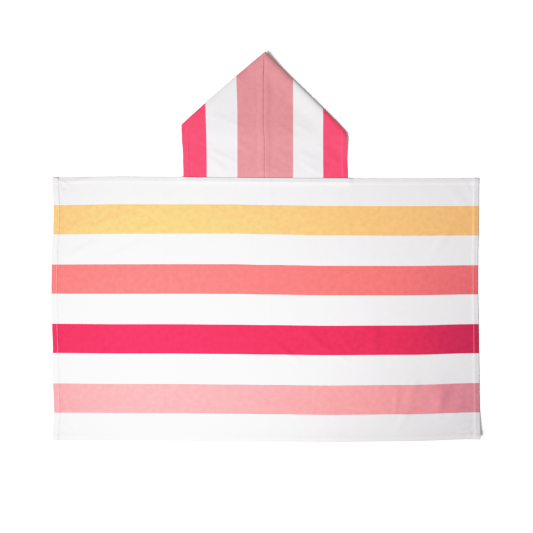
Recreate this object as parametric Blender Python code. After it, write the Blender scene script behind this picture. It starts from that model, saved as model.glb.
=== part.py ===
"""A child's hooded towel, laid flat with its outer face up. Blender 4.5, metres, +Z up.

+X runs along the long side, +Y from the towel to the tip of the hood, and the floor is z = 0.
Each piece of cloth starts as a flat grid that is cut along its hems and folds, gets a second
face by extrusion, and is then laid down: hems thicken it, and wrinkles and folds lift it.
"""
import math
from collections import namedtuple

import bmesh
import bpy
from mathutils import Vector

# The towel
BODY_WIDTH = 1.300
BODY_HEIGHT = 0.803
BODY_TOP = 0.2119          # Y of the edge that carries the hood
CLOTH = 0.0012             # one layer
GAP = 0.0003               # kept between pieces, and between layers
HEM = 0.0170               # width of every turned hem
HEM_EXTRA = 0.0014         # what the turned layers add
HEM_STEP = 0.0015          # width of the step beside a hem
CORNER_EXTRA = 0.0010      # where two hems cross
EDGE_ROUND = 0.0012        # a folded edge is rounded over this width
EDGE_DRAW = 0.30           # share of the thickness that the rounding takes from each face

# The hood: two halves seamed up the centre back, each folded under along its slanting edge
HOOD_SEAM = -0.0045        # X of the centre seam
HOOD_HEIGHT = 0.3818       # from the towel's top edge to the tip
NECK_LAP = 0.010           # what is caught under the towel's top hem
LAP_REST = 0.0150          # the towel comes back to the floor over this length beside the lap
FLAP_REST = 0.0600         # the hood comes down to the floor over this length past its flap
FLAP_RISE = 0.0140         # and steps from one layer to a hem over this one
FOLD_RADIUS = 0.0042       # the slanting fold isn't pressed: it is a soft roll of this radius
ROLL_REACH = 0.045         # the outer layer comes down from the roll over this length
BEND_STEPS = 6
ROLL_STEPS = 3
TIP_LIFT = 0.0060          # the tip of the hood stands a little off the floor
TIP_REACH = 0.110

# Each half's slanting outline runs from the tip, tip_out beside the seam, to the shoulder on
# the face edge
HoodHalf = namedtuple("HoodHalf", "name side width tip_out shoulder soft_corner")
HOOD_HALVES = (
    HoodHalf("hood_left", -1, 0.2500, 0.0000, 0.1603, 0.0000),
    HoodHalf("hood_right", 1, 0.2555, 0.0074, 0.1369, 0.0030),
)

# How far each crosswise line of the cloth lies above or below straight, in millimetres
WeftBow = namedtuple("WeftBow", "across top upper lower bottom")
WEFT_BOWS = (
    WeftBow(-0.650, 0.8, 0.2, 3.2, 3.0),
    WeftBow(-0.440, 4.0, 2.5, 1.2, 2.6),
    WeftBow(-0.300, 2.4, 3.0, 1.2, 2.2),
    WeftBow(-0.100, 0.4, 3.8, -0.3, 0.0),
    WeftBow(0.000, -0.6, 1.2, -1.5, -1.2),
    WeftBow(0.190, -1.2, -2.1, -3.6, -3.6),
    WeftBow(0.430, -1.8, -3.4, -2.7, -1.0),
    WeftBow(0.650, -0.8, -3.0, 2.2, 5.6),
)
UPPER_LINE = 0.128         # how far below the top edge the second and third columns apply
LOWER_LINE = 0.491

# How far the short edges lie outside straight, in millimetres
SideBow = namedtuple("SideBow", "down left right")
SIDE_BOWS = (
    SideBow(0.000, 0.6, 0.3),
    SideBow(0.090, -3.4, 0.0),
    SideBow(0.165, -1.8, -0.6),
    SideBow(0.230, 2.4, -2.6),
    SideBow(0.345, 3.9, -2.6),
    SideBow(0.450, 1.8, -0.4),
    SideBow(0.530, -0.6, 0.4),
    SideBow(0.635, -1.5, 1.8),
    SideBow(0.710, -4.4, 2.8),
    SideBow(0.803, -0.9, 3.4),
)
SIDE_BOW_REACH = 0.240

# How far the hood's face edges lie outside straight, in millimetres
FaceBow = namedtuple("FaceBow", "up left right")
FACE_BOWS = (
    FaceBow(0.000, -3.0, -0.6),
    FaceBow(0.060, -2.0, -1.4),
    FaceBow(0.120, 1.2, -2.4),
    FaceBow(0.170, 3.2, -3.0),
    FaceBow(0.382, 0.0, 0.0),
)
FACE_BOW_REACH = 0.110

# Wrinkles: the middle of each crest, its size, its turn from +X in degrees, and its height
Wrinkle = namedtuple("Wrinkle", "across up length width turn height")
BODY_WRINKLES = (
    Wrinkle(-0.560, -0.008, 0.150, 0.040, 27, 0.0040),
    Wrinkle(-0.440, -0.020, 0.200, 0.044, 23, 0.0036),
    Wrinkle(-0.490, 0.075, 0.150, 0.040, 31, 0.0024),
    Wrinkle(-0.300, 0.145, 0.170, 0.044, 38, 0.0015),
    Wrinkle(0.062, -0.319, 0.150, 0.032, -39, 0.0024),
    Wrinkle(0.150, -0.278, 0.200, 0.034, -41, 0.0026),
    Wrinkle(0.330, -0.285, 0.090, 0.040, 78, 0.0028),
    Wrinkle(0.446, -0.441, 0.100, 0.036, 60, 0.0030),
    Wrinkle(0.531, -0.458, 0.110, 0.052, 66, 0.0042),
    Wrinkle(0.500, -0.430, 0.190, 0.046, 36, 0.0026),
    Wrinkle(0.420, -0.520, 0.140, 0.040, 58, 0.0026),
    Wrinkle(0.535, 0.022, 0.200, 0.048, 54, 0.0028),
    Wrinkle(0.565, 0.150, 0.120, 0.038, -50, 0.0015),
)
HOOD_WRINKLES = (
    Wrinkle(-0.140, 0.280, 0.090, 0.030, -27, 0.0012),
    Wrinkle(-0.146, 0.249, 0.095, 0.032, -36, 0.0013),
    Wrinkle(-0.223, 0.258, 0.060, 0.028, -42, 0.0011),
    Wrinkle(-0.060, 0.304, 0.100, 0.034, -36, 0.0009),
    Wrinkle(0.046, 0.284, 0.090, 0.034, -33, 0.0008),
    Wrinkle(0.128, 0.277, 0.096, 0.032, -30, 0.0011),
    Wrinkle(0.136, 0.247, 0.100, 0.032, -37, 0.0013),
    Wrinkle(0.212, 0.268, 0.068, 0.030, -44, 0.0011),
)

# Creases left by packing, the whole height of the towel
CREASE_PLACES = (-0.316, 0.012, 0.324)
CREASE_WIDTH = 0.030
CREASE_HEIGHT = 0.0005

# The lower right corner stands a little off the floor
CORNER_LIFT = 0.0105
CORNER_REACH = 0.120

# Spacing of the flat grids
BODY_GRID = 0.042
HOOD_GRID = 0.026
FINE_GRID = 0.012          # an edge on a wrinkle is split down to about this length
LONG_EDGE = 1.5            # times that, an edge counts as long
SNAP = 0.00015             # a cut this near to a point goes through it

SHARP_ANGLE = 40           # degrees, shading only
CLOTH_ROUGHNESS = 0.9
BODY_COLOUR = (0.86, 0.85, 0.86, 1.0)
HOOD_COLOUR = (0.80, 0.30, 0.34, 1.0)

MILLIMETRE = 0.001
HALF_WIDTH = BODY_WIDTH / 2
BODY_BOTTOM = BODY_TOP - BODY_HEIGHT
HEM_CLOTH = CLOTH + HEM_EXTRA
BEND_LENGTH = math.pi * (FOLD_RADIUS - CLOTH / 2)


def clear_scene():
    for item in list(bpy.data.objects):
        bpy.data.objects.remove(item, do_unlink=True)


def clamp(value):
    return min(max(value, 0.0), 1.0)


def ease(value):
    """Goes from 0 to 1 with a level start and end."""
    value = clamp(value)
    return value * value * (3 - 2 * value)


def read_table(rows, place, column):
    """Reads one column at a place given by the first column, easing from row to row."""
    if place <= rows[0][0]:
        return getattr(rows[0], column)
    for before, after in zip(rows, rows[1:]):
        if place <= after[0]:
            share = ease((place - before[0]) / (after[0] - before[0]))
            return getattr(before, column) * (1 - share) + getattr(after, column) * share
    return getattr(rows[-1], column)


# Form of the laid cloth

def weft_bow(across, down):
    """Y shift of the cloth at a distance below the towel's top edge."""
    places = (0.0, UPPER_LINE, LOWER_LINE, BODY_HEIGHT)
    columns = WeftBow._fields[1:]
    down = min(max(down, 0.0), BODY_HEIGHT)
    for index in range(3):
        if down <= places[index + 1]:
            break
    share = (down - places[index]) / (places[index + 1] - places[index])
    start = read_table(WEFT_BOWS, across, columns[index])
    end = read_table(WEFT_BOWS, across, columns[index + 1])
    return (start * (1 - share) + end * share) * MILLIMETRE


def side_bow(across, down):
    """X shift of the cloth, full at the short edges and gone SIDE_BOW_REACH inside them."""
    column = "left" if across < 0 else "right"
    side = -1 if across < 0 else 1
    outward = read_table(SIDE_BOWS, down, column) * MILLIMETRE
    weight = ease(1 - (HALF_WIDTH - abs(across)) / SIDE_BOW_REACH)
    return side * outward * weight


def face_bow(half, out, up):
    """Outward shift of the hood, full at its face edges and gone FACE_BOW_REACH inside them."""
    outward = read_table(FACE_BOWS, up, "left" if half.side < 0 else "right") * MILLIMETRE
    return outward * ease(1 - (half.width - out) / FACE_BOW_REACH)


def tip_lift(out, up):
    return TIP_LIFT * clamp(1 - math.hypot(out, HOOD_HEIGHT - up) / TIP_REACH) ** 2


def wrinkle_place(wrinkle, across, up):
    """Position along and across a wrinkle, each from -1 to 1 on it."""
    turn = math.radians(wrinkle.turn)
    east = across - wrinkle.across
    north = up - wrinkle.up
    along = east * math.cos(turn) + north * math.sin(turn)
    beside = north * math.cos(turn) - east * math.sin(turn)
    return 2 * along / wrinkle.length, 2 * beside / wrinkle.width


def wrinkle_lift(wrinkles, across, up):
    lift = 0.0
    for wrinkle in wrinkles:
        along, beside = wrinkle_place(wrinkle, across, up)
        if abs(along) < 1 and abs(beside) < 1:
            crest = (1 - along * along) ** 2
            lift += wrinkle.height * crest * 0.5 * (1 + math.cos(math.pi * beside))
    return lift


def crease_lift(across):
    lift = 0.0
    for place in CREASE_PLACES:
        lift += CREASE_HEIGHT * ease(1 - 2 * abs(across - place) / CREASE_WIDTH)
    return lift


def from_corner(across, up):
    return math.hypot(HALF_WIDTH - across, up - BODY_BOTTOM)


def corner_lift(across, up):
    return CORNER_LIFT * clamp(1 - from_corner(across, up) / CORNER_REACH) ** 2


def hem_share(distance):
    """1 on a hem, 0 past the step beside it."""
    return 1 - clamp((distance - HEM) / HEM_STEP)


def edge_draw(distance, thickness):
    """How far each face draws in at a folded edge."""
    return EDGE_DRAW * thickness * (1 - clamp(distance / EDGE_ROUND)) ** 2


def lap_lift(across, down):
    """How far the towel stands on the hood's neck edge, which lies under its top hem."""
    side = -1 if across < HOOD_SEAM else 1
    half = HOOD_HALVES[0] if side < 0 else HOOD_HALVES[1]
    inside = half.width - abs(across - HOOD_SEAM)
    over_hem = 1 - clamp((inside - HEM - HEM_STEP) / FLAP_RISE)
    height = CLOTH + GAP + HEM_EXTRA * over_hem
    beside = clamp(1 + (inside + MILLIMETRE) / LAP_REST)
    below = clamp(1 - (down - NECK_LAP - MILLIMETRE) / LAP_REST)
    return height * beside * below


def lay_body(point):
    """Lays one point of the flat towel; its z is 0 on the underside and 1 on the outer face."""
    across, up, layer = point
    down = BODY_TOP - up
    to_side = HALF_WIDTH - abs(across)
    to_end = min(down, up - BODY_BOTTOM)
    side_hem = hem_share(to_side)
    end_hem = hem_share(to_end)
    thickness = CLOTH + HEM_EXTRA * max(side_hem, end_hem) + CORNER_EXTRA * side_hem * end_hem
    drawn = edge_draw(min(to_side, to_end), thickness)
    lift = wrinkle_lift(BODY_WRINKLES, across, up) + corner_lift(across, up)
    lift += crease_lift(across) + lap_lift(across, down)
    height = lift + (thickness - drawn if layer > 0.5 else drawn)
    return Vector((across + side_bow(across, down), up + weft_bow(across, down), height))


class FoldedHalf:
    """Where the cloth of one hood half lies, from its place in the flat cut piece.

    Flat places are given as (outward, upward) from the foot of the centre seam.
    """

    def __init__(self, half):
        self.half = half
        tip = Vector((half.tip_out, HOOD_HEIGHT))
        self.shoulder = Vector((half.width, half.shoulder))
        fold_line = (self.shoulder - tip).normalized()
        self.fold_out = Vector((-fold_line.y, fold_line.x))
        self.fold_start = tip - FOLD_RADIUS * self.fold_out
        # the face edge goes on past the fold and lies mirrored in it
        upward = Vector((0.0, 1.0))
        flap_edge = (2 * upward.dot(fold_line) * fold_line - upward).normalized()
        self.flap_in = Vector((flap_edge.y, -flap_edge.x))
        bend_start = self.fold_start + fold_line * (half.width - self.fold_start.x) / fold_line.x
        self.flap_shoulder = bend_start + BEND_LENGTH * self.fold_out
        reach = self.flap_shoulder.x / -flap_edge.x
        self.flap_foot = self.flap_shoulder + reach * flap_edge
        self.crown_corner = bend_start + reach * upward
        self.crown_tip = tip + (BEND_LENGTH / 2 - FOLD_RADIUS) * self.fold_out

    def past_fold(self, place):
        return (place - self.fold_start).dot(self.fold_out)

    def bed(self, place):
        """Height of the outer layer's underside over the flap that lies below it."""
        over_flap = (place - self.flap_shoulder).dot(self.flap_in)
        on_hem = 1 - clamp((over_flap - HEM - HEM_STEP) / FLAP_RISE)
        height = CLOTH + GAP + HEM_EXTRA * on_hem
        return height * clamp(1 + over_flap / FLAP_REST)

    def lay(self, point):
        place = Vector((point.x, point.y))
        outside = point.z > 0.5
        to_face = self.half.width - place.x
        thickness = CLOTH + HEM_EXTRA * hem_share(to_face)
        drawn = edge_draw(to_face, thickness)
        past = self.past_fold(place)
        if past <= 0:
            flat = place
            height = self.bed(place)
            height += (2 * FOLD_RADIUS - thickness - height) * ease(1 + past / ROLL_REACH)
            height += self.wrinkles(place)
            height += thickness - drawn if outside else drawn
        elif past < BEND_LENGTH:
            turn = math.pi * past / BEND_LENGTH
            radius = FOLD_RADIUS - (drawn if outside else thickness - drawn)
            flat = place + (radius * math.sin(turn) - past) * self.fold_out
            height = FOLD_RADIUS + radius * math.cos(turn)
        else:
            flat = place + (BEND_LENGTH - 2 * past) * self.fold_out
            height = drawn if outside else thickness - drawn
        flat = self.soften(flat)
        out = max(flat.x, GAP / 2)
        bow = weft_bow(HOOD_SEAM + self.half.side * out, 0.0) * clamp(1 - flat.y / HOOD_HEIGHT)
        across = HOOD_SEAM + self.half.side * (out + face_bow(self.half, out, flat.y))
        return Vector((across, BODY_TOP + flat.y + bow, height + tip_lift(out, flat.y)))

    def wrinkles(self, place):
        across = HOOD_SEAM + self.half.side * place.x
        free = ease(place.y / (2 * NECK_LAP))
        return wrinkle_lift(HOOD_WRINKLES, across, BODY_TOP + place.y) * free

    def soften(self, flat):
        """Draws in the bulky corner where the hem goes through the fold."""
        reach = 4 * HEM_CLOTH
        near = math.exp(-((flat - self.shoulder).length / reach) ** 2)
        inward = (self.flap_foot - self.shoulder).normalized()
        return flat + self.half.soft_corner * near * inward


# Making the pieces

def flat_grid(low, high, spacing):
    """A flat grid between two corners."""
    bm = bmesh.new()
    size = high - low
    bmesh.ops.create_grid(
        bm, x_segments=round(size.x / spacing), y_segments=round(size.y / spacing), size=0.5)
    bmesh.ops.scale(bm, vec=(size.x, size.y, 1), verts=bm.verts)
    middle = (low + high) / 2
    bmesh.ops.translate(bm, vec=(middle.x, middle.y, 0), verts=bm.verts)
    return bm


def cut_line(bm, point, normal, drop_outside=False, near=None):
    """Adds a line of edges to a flat grid, or trims the grid along it."""
    faces = [face for face in bm.faces if near is None or near(face.calc_center_median())]
    edges = {edge for face in faces for edge in face.edges}
    corners = {vert for face in faces for vert in face.verts}
    bmesh.ops.bisect_plane(
        bm, geom=list(corners) + list(edges) + faces, dist=SNAP,
        plane_co=(point[0], point[1], 0), plane_no=(normal[0], normal[1], 0),
        clear_outer=drop_outside)


def near_wrinkle(wrinkles, across, up, reach):
    """Whether a face of the reach's size here has to bend with a wrinkle."""
    for wrinkle in wrinkles:
        along, beside = wrinkle_place(wrinkle, across, up)
        if abs(along) < 1.1 and abs(beside) < 0.6 + reach / wrinkle.width:
            return True
    return False


def refine(bm, is_shaped):
    """Splits the long edges wherever is_shaped(middle, length) says that the cloth isn't flat."""
    for _ in range(2):
        long_edges = []
        for edge in bm.edges:
            length = edge.calc_length()
            middle = (edge.verts[0].co + edge.verts[1].co) / 2
            if length > LONG_EDGE * FINE_GRID and is_shaped(middle, length):
                long_edges.append(edge)
        bmesh.ops.subdivide_edges(bm, edges=long_edges, cuts=1, use_grid_fill=True)


def cloth_object(name, bm, lay, colour, mirrored=False):
    """Gives the flat grid its second face, lays it down and makes it an object."""
    bmesh.ops.triangulate(bm, faces=bm.faces)
    faces = bmesh.ops.extrude_face_region(bm, geom=bm.faces)["geom"]
    raised = [item for item in faces if isinstance(item, bmesh.types.BMVert)]
    bmesh.ops.translate(bm, vec=(0, 0, 1), verts=raised)
    bmesh.ops.recalc_face_normals(bm, faces=bm.faces)
    if mirrored:
        bmesh.ops.reverse_faces(bm, faces=bm.faces)
    for vert in bm.verts:
        vert.co = lay(vert.co)
    mesh = bpy.data.meshes.new(name)
    bm.to_mesh(mesh)
    bm.free()
    mesh.shade_smooth()
    mesh.set_sharp_from_angle(angle=math.radians(SHARP_ANGLE))
    mesh.materials.append(cloth_material(name + "_cloth", colour))
    item = bpy.data.objects.new(name, mesh)
    bpy.context.collection.objects.link(item)
    return item


def cloth_material(name, colour):
    material = bpy.data.materials.new(name)
    material.use_nodes = True
    shader = material.node_tree.nodes["Principled BSDF"]
    shader.inputs["Base Color"].default_value = colour
    shader.inputs["Roughness"].default_value = CLOTH_ROUGHNESS
    shader.inputs["Metallic"].default_value = 0.0
    return material


def make_body():
    """The towel: one panel, hemmed all round, on the hood's neck edge in the middle of its top."""
    bm = flat_grid(Vector((-HALF_WIDTH, BODY_BOTTOM)), Vector((HALF_WIDTH, BODY_TOP)), BODY_GRID)
    for inset in (EDGE_ROUND, HEM, HEM + HEM_STEP):
        cut_line(bm, (HALF_WIDTH - inset, 0), (1, 0))
        cut_line(bm, (inset - HALF_WIDTH, 0), (1, 0))
        cut_line(bm, (0, BODY_TOP - inset), (0, 1))
        cut_line(bm, (0, BODY_BOTTOM + inset), (0, 1))
    for place in CREASE_PLACES:
        for step in (-0.5, 0, 0.5):
            cut_line(bm, (place + step * CREASE_WIDTH, 0), (1, 0))
    lap_end = NECK_LAP + MILLIMETRE

    def beside_lap(centre):
        return BODY_TOP - centre.y < lap_end + LAP_REST

    def along_lap(centre):
        return abs(centre.x - HOOD_SEAM) < HOOD_HALVES[1].width + 2 * LAP_REST

    for down in (lap_end, lap_end + LAP_REST):
        cut_line(bm, (0, BODY_TOP - down), (0, 1), near=along_lap)
    for half in HOOD_HALVES:
        hem_end = HEM + HEM_STEP
        for inside in (-MILLIMETRE - LAP_REST, -MILLIMETRE, hem_end, hem_end + FLAP_RISE):
            place = HOOD_SEAM + half.side * (half.width - inside)
            cut_line(bm, (place, 0), (1, 0), near=beside_lap)

    def is_shaped(middle, length):
        at_corner = from_corner(middle.x, middle.y) < CORNER_REACH
        return at_corner or near_wrinkle(BODY_WRINKLES, middle.x, middle.y, length)

    refine(bm, is_shaped)
    return cloth_object("body_panel", bm, lay_body, BODY_COLOUR)


def make_hood_half(half):
    """One half of the hood, from the flat cut piece to its folded place."""
    folded = FoldedHalf(half)
    low = Vector((0.0, -NECK_LAP))
    bm = flat_grid(low, folded.crown_corner, HOOD_GRID)
    crown = (folded.crown_corner - folded.crown_tip).normalized()
    cut_line(bm, folded.crown_tip, (-crown.y, crown.x), drop_outside=True)
    for inset in (EDGE_ROUND, HEM, HEM + HEM_STEP):
        cut_line(bm, (half.width - inset, 0), (1, 0))
    cut_line(bm, (0, 0), (0, 1))
    pasts = [BEND_LENGTH * step / BEND_STEPS for step in range(BEND_STEPS + 1)]
    pasts += [-ROLL_REACH * (step + 1) / ROLL_STEPS for step in range(ROLL_STEPS)]
    for past in pasts:
        cut_line(bm, folded.fold_start + past * folded.fold_out, folded.fold_out)

    def outer_layer(centre):
        return folded.past_fold(centre.to_2d()) < 0

    hem_end = HEM + HEM_STEP
    for inside in (-FLAP_REST, 0.0, hem_end, hem_end + FLAP_RISE):
        cut_line(
            bm, folded.flap_shoulder + inside * folded.flap_in, folded.flap_in, near=outer_layer)

    def is_shaped(middle, length):
        across = HOOD_SEAM + half.side * middle.x
        return near_wrinkle(HOOD_WRINKLES, across, BODY_TOP + middle.y, length)

    refine(bm, is_shaped)
    return cloth_object(half.name, bm, folded.lay, HOOD_COLOUR, mirrored=half.side < 0)


clear_scene()
make_body()
for hood_half in HOOD_HALVES:
    make_hood_half(hood_half)
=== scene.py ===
# A child's hooded towel, laid flat with its printed face up: the finished cloth with its hems,
# seams and stitching, and the light and camera of the picture.
# Metres throughout. +X runs along the long side, +Y towards the tip of the hood.
import math

import bmesh
import bpy
import numpy as np
from mathutils import Matrix, Vector, noise


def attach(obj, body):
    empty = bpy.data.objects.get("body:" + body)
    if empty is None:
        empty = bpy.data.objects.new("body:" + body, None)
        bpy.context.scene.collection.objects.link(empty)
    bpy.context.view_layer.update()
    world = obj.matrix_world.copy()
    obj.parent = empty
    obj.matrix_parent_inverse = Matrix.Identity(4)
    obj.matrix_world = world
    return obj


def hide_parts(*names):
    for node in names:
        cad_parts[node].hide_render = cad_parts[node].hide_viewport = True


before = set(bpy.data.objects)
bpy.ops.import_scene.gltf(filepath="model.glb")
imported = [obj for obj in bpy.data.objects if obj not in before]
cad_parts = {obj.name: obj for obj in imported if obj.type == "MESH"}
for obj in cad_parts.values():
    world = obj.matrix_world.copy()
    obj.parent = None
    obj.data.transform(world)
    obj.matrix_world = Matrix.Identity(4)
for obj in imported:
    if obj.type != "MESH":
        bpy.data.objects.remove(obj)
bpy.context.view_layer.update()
mm = 0.001


# Small helpers

def ease(value):  # from 0 to 1 with a level start and end
    value = np.clip(value, 0, 1)
    return value * value * (3 - 2 * value)


def bell(distance, reach):  # 1 at the middle, gone a little past its reach
    return np.exp(-(distance / reach) ** 2)


def named(columns, rows):  # a table as one array for each named column
    return dict(zip(columns, np.array(rows, float).T))


def readTable(table, column, at):  # eases from row to row; the first column is the place
    places = next(iter(table.values()))
    row = np.clip(np.searchsorted(places, at) - 1, 0, len(places) - 2)
    share = ease((at - places[row]) / (places[row + 1] - places[row]))
    return table[column][row] * (1 - share) + table[column][row + 1] * share


def softNoise(across, up, size, seed):  # from -1 to 1, with features about this long
    return np.array([noise.noise((a / size, b / size, seed)) for a, b in zip(across, up)])


def toMesh(name, bm):
    mesh = bpy.data.meshes.new(name)
    bm.to_mesh(mesh)
    bm.free()
    return mesh


def addThing(name, data):
    thing = bpy.data.objects.new(name, data)
    bpy.context.collection.objects.link(thing)
    return thing


def addPiece(name, mesh, material):
    mesh.shade_smooth()
    mesh.materials.append(material)
    print(name, "has", sum(len(p.vertices) - 2 for p in mesh.polygons), "triangles")
    return addThing(name, mesh)


# The picture's camera: straight above

cameraSettings = {
    "middle": (0.0023, -0.0586),  # the place on the floor in the middle of the picture
    "height": 4.0,
    "floorWidth": 1.6257,  # width of floor that the picture shows
    "sensor": 36.0,
}


def makeCamera(settings):
    data = bpy.data.cameras.new("pictureCamera")
    data.sensor_width = settings["sensor"]
    data.lens = settings["sensor"] * settings["height"] / settings["floorWidth"]
    camera = addThing("pictureCamera", data)
    camera.location = (*settings["middle"], settings["height"])
    bpy.context.scene.camera = camera


makeCamera(cameraSettings)


# The cloth: brushed microfibre, with its edges turned twice and stitched down

cloth = {
    "thickness": 1.2 * mm,
    "gap": 0.3 * mm,  # between layers that lie on each other
    "hem": 17.0 * mm,
    "hemExtra": 1.4 * mm,  # what the turned layers add
    "hemStep": 1.5 * mm,
    "turn": 10.4 * mm,  # outside this line one layer fewer lies in the hem
    "turnDrop": 0.2 * mm,
    "cornerExtra": 1.0 * mm,
    "edgeRound": 1.5 * mm,
    "edgeDraw": 0.42,  # share of the thickness that the rounding takes each side
    "stitchLine": 15.6 * mm,  # how far in the stitches run
    "grooveDepth": 0.55 * mm,
    "grooveReach": 1.5 * mm,
    "innerPull": 0.5,  # share of the groove on the inner face
    "roundShares": (0.12, 0.35, 0.65, 1.0),  # lines of points round a folded edge
    "grooveShares": (-1.4, -0.7, 0),  # and in a row of stitches
    "turnLine": 5 * mm,  # one more such line
    "besideHem": 21 * mm,  # and the last
    "foldedEdge": 2.1 * mm,  # width of the painted shade along a folded edge
    "puckerReach": 8.0 * mm,
    "puckerLength": 6.5 * mm,
    "puckerStretch": 3,  # they are this many times as long across the hem
    "puckerBase": 0.6,  # share of the height that is everywhere
    "puckerSwing": 0.8,  # from one length of hem to another
    "puckerSwingSize": 0.10,
    "broadLift": 0.5 * mm,  # the cloth never lies quite flat
    "broadSize": 85 * mm,
    "smallLift": 0.22 * mm,
    "smallSize": 26 * mm,
    "wander": 7.0 * mm,  # how far a wrinkle's crest strays from a straight line
    "wanderSize": 60 * mm,
    "wanderFull": 30 * mm,  # narrower wrinkles stray less
    "wrinkleMargin": 5 * mm,  # beside a wrinkle, also finely divided
    "snap": 0.12 * mm,  # a cut takes the points that lie this near
}
seeds = {  # of the soft noise, some added to the number of a side or crease
    "wander": 3.1, "broad": 7.7, "small": 2.3, "towelPucker": 0.3, "hoodPucker": 4.2,
    "seamPucker": 6.1, "puckerSwing": 5, "crease": 0.5, "creaseSwing": 9.5,
}

towel = {
    "width": 1.300,
    "height": 0.803,
    "top": 0.2119,  # Y of the edge that carries the hood
    "grid": 7.0 * mm,
    "fineGrid": 5.0 * mm,  # longest edge on a wrinkle
    "hemGrid": 4.9 * mm,  # and on a hem
    "hemMargin": 0.1 * mm,
    "puckers": {"left": 0.75 * mm, "right": 0.40 * mm, "top": 0.40 * mm, "bottom": 0.34 * mm},
    "hemFullness": {"left": 1.2, "right": 1.2, "top": 0.65, "bottom": 0.45},
    "edgeFall": {"left": 0.7 * mm, "right": 0.0, "top": 0.5 * mm, "bottom": 0.2 * mm},
    "creasePlaces": (-0.316, 0.012, 0.324),  # left by packing, the whole height of the towel
    "creaseWidth": 30 * mm,
    "creaseHeight": 0.6 * mm,
    "creaseStray": 2.5 * mm,
    "creaseStraySize": 0.11,
    "creaseBase": 0.65,  # share of the height, and how it swings along the crease
    "creaseSwing": 1.3,
    "creaseSwingSize": 0.16,
    "creaseShares": (0.05, 1.3),  # least and most
    "cornerLift": 6.5 * mm,  # the lower right corner stands a little off the floor
    "cornerReach": 0.120,
    "curl": 5.5 * mm,  # and its side hem curls up
    "curlWidth": 22 * mm,
    "curlLength": 0.105,
    "curlInward": 1.4,  # how fast it dies out, inward and up the side
    "curlUpward": 1.3,
    "lapRest": 15 * mm,  # the towel comes down beside the hood's neck edge
    "neckStitch": 4.4 * mm,  # second row, through the hood's neck edge
    "neckGroove": 0.8 * mm,
    "neckReach": 0.2515,  # of that groove, to each side of the hood's seam
    "neckRow": (-0.245, 0.250),  # ends of that row, from the hood's seam
}
halfWidth = towel["width"] / 2
bottomEdge = towel["top"] - towel["height"]

hood = {
    "seam": -0.0045,  # X of the centre seam
    "height": 0.3818,
    "neckLap": 10 * mm,  # what is caught under the towel's top hem
    "flapRest": 60 * mm,  # the outer layer comes down slowly below the flap
    "flapRise": 40 * mm,  # and rises over this length to the flap's hem
    "foldRadius": 4.2 * mm,  # the slanting folds are soft rolls
    "rollReach": 62 * mm,  # the cloth rises to the roll over this length
    "rollUneven": 0.12,
    "rollUnevenSize": 50 * mm,
    "sharedReach": 50 * mm,  # both halves lie equally high at the seam
    "flank": 9 * mm,  # the roll falls this far before it turns under
    "flankDrop": 1.5 * mm,
    "foldBowReach": 80 * mm,
    "foldSettle": 12 * mm,  # puckers die out over this length before the fold
    "softReach": 10.4 * mm,  # round the bulky corner
    "neckEase": 20 * mm,  # the cloth lies freely this far above the neck edge
    "unevenShare": 0.7,  # against the towel
    "tipLift": 8 * mm,  # the tip stands a little off the floor
    "tipReach": 0.110,
    "grid": 3.0 * mm,
    "bendSteps": 12,
    "puckers": 0.30 * mm,
    "hemFullness": 1.0,
    "edgeFall": 0.5 * mm,  # the hem's upper face falls a little towards the edge
    "seamDraw": 0.75,  # share of the thickness that rolls down at the seam
    "seamRound": 3.2 * mm,
    "seamShares": (0.25, 0.6, 1.0),  # lines of points in that rounding
    "allowance": 9 * mm,  # seam allowance to each side, pressed open underneath
    "allowanceCloth": 0.9 * mm,
    "allowanceRest": 14 * mm,
    "allowanceRise": 20 * mm,  # it gets thicker over these lengths at neck and tip
    "allowanceFall": 50 * mm,
    "allowanceStart": 4 * mm,  # above the neck edge
    "allowanceEnd": 40 * mm,  # below the tip
    "allowanceLift": 0.05 * mm,
    "seamPuckers": 0.25 * mm,
    "seamPuckerReach": 9 * mm,
    "seamPuckerLength": 8 * mm,
}
# Each fold runs from the tip, tipOut from the seam, to shoulder height on the face edge
hoodHalves = (
    {"name": "hoodLeft", "node": "hood_left", "side": -1, "width": 0.2500,
     "tipOut": 0.0000, "shoulder": 0.1603, "softCorner": 0.0, "foldBow": 4.4 * mm},
    {"name": "hoodRight", "node": "hood_right", "side": 1, "width": 0.2555,
     "tipOut": 0.0052, "shoulder": 0.1400, "softCorner": 2.0 * mm, "foldBow": -0.8 * mm},
)

# How far each crosswise line of the cloth lies above or below straight, in millimetres
weftBows = named(("across", "top", "upper", "lower", "bottom"), [
    (-0.650, 0.8, 0.2, 3.2, 3.0),
    (-0.440, 4.0, 2.5, 1.2, 2.6),
    (-0.300, 2.4, 3.0, 1.2, 2.2),
    (-0.100, 0.4, 3.8, -0.3, 0.0),
    (0.000, -0.6, 1.2, -1.5, -1.2),
    (0.190, -1.2, -2.1, -3.6, -3.6),
    (0.430, -1.8, -3.4, -2.7, -1.0),
    (0.650, -0.8, -3.0, 2.2, 5.6),
])
weftLines = {"top": 0.0, "upper": 0.128, "lower": 0.491, "bottom": towel["height"]}

# How far the short edges lie outside straight, in millimetres
sideBows = named(("down", "left", "right"), [
    (0.000, 0.6, 0.3),
    (0.090, -3.4, 0.0),
    (0.165, -1.8, -0.6),
    (0.230, 2.4, -2.6),
    (0.345, 3.9, -2.6),
    (0.450, 1.8, -0.4),
    (0.530, -0.6, 0.4),
    (0.635, -1.5, 1.8),
    (0.710, -4.4, 2.8),
    (0.803, -0.9, 3.4),
])
sideBowReach = 0.240

# How far the hood's centre seam strays to the right, in millimetres
seamBows = named(("up", "right"), [
    (0.000, 0.7),
    (0.115, 0.7),
    (0.150, -2.1),
    (0.298, -2.1),
    (0.350, -0.6),
    (0.382, 0.0),
])
seamBowReach = 0.070

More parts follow.
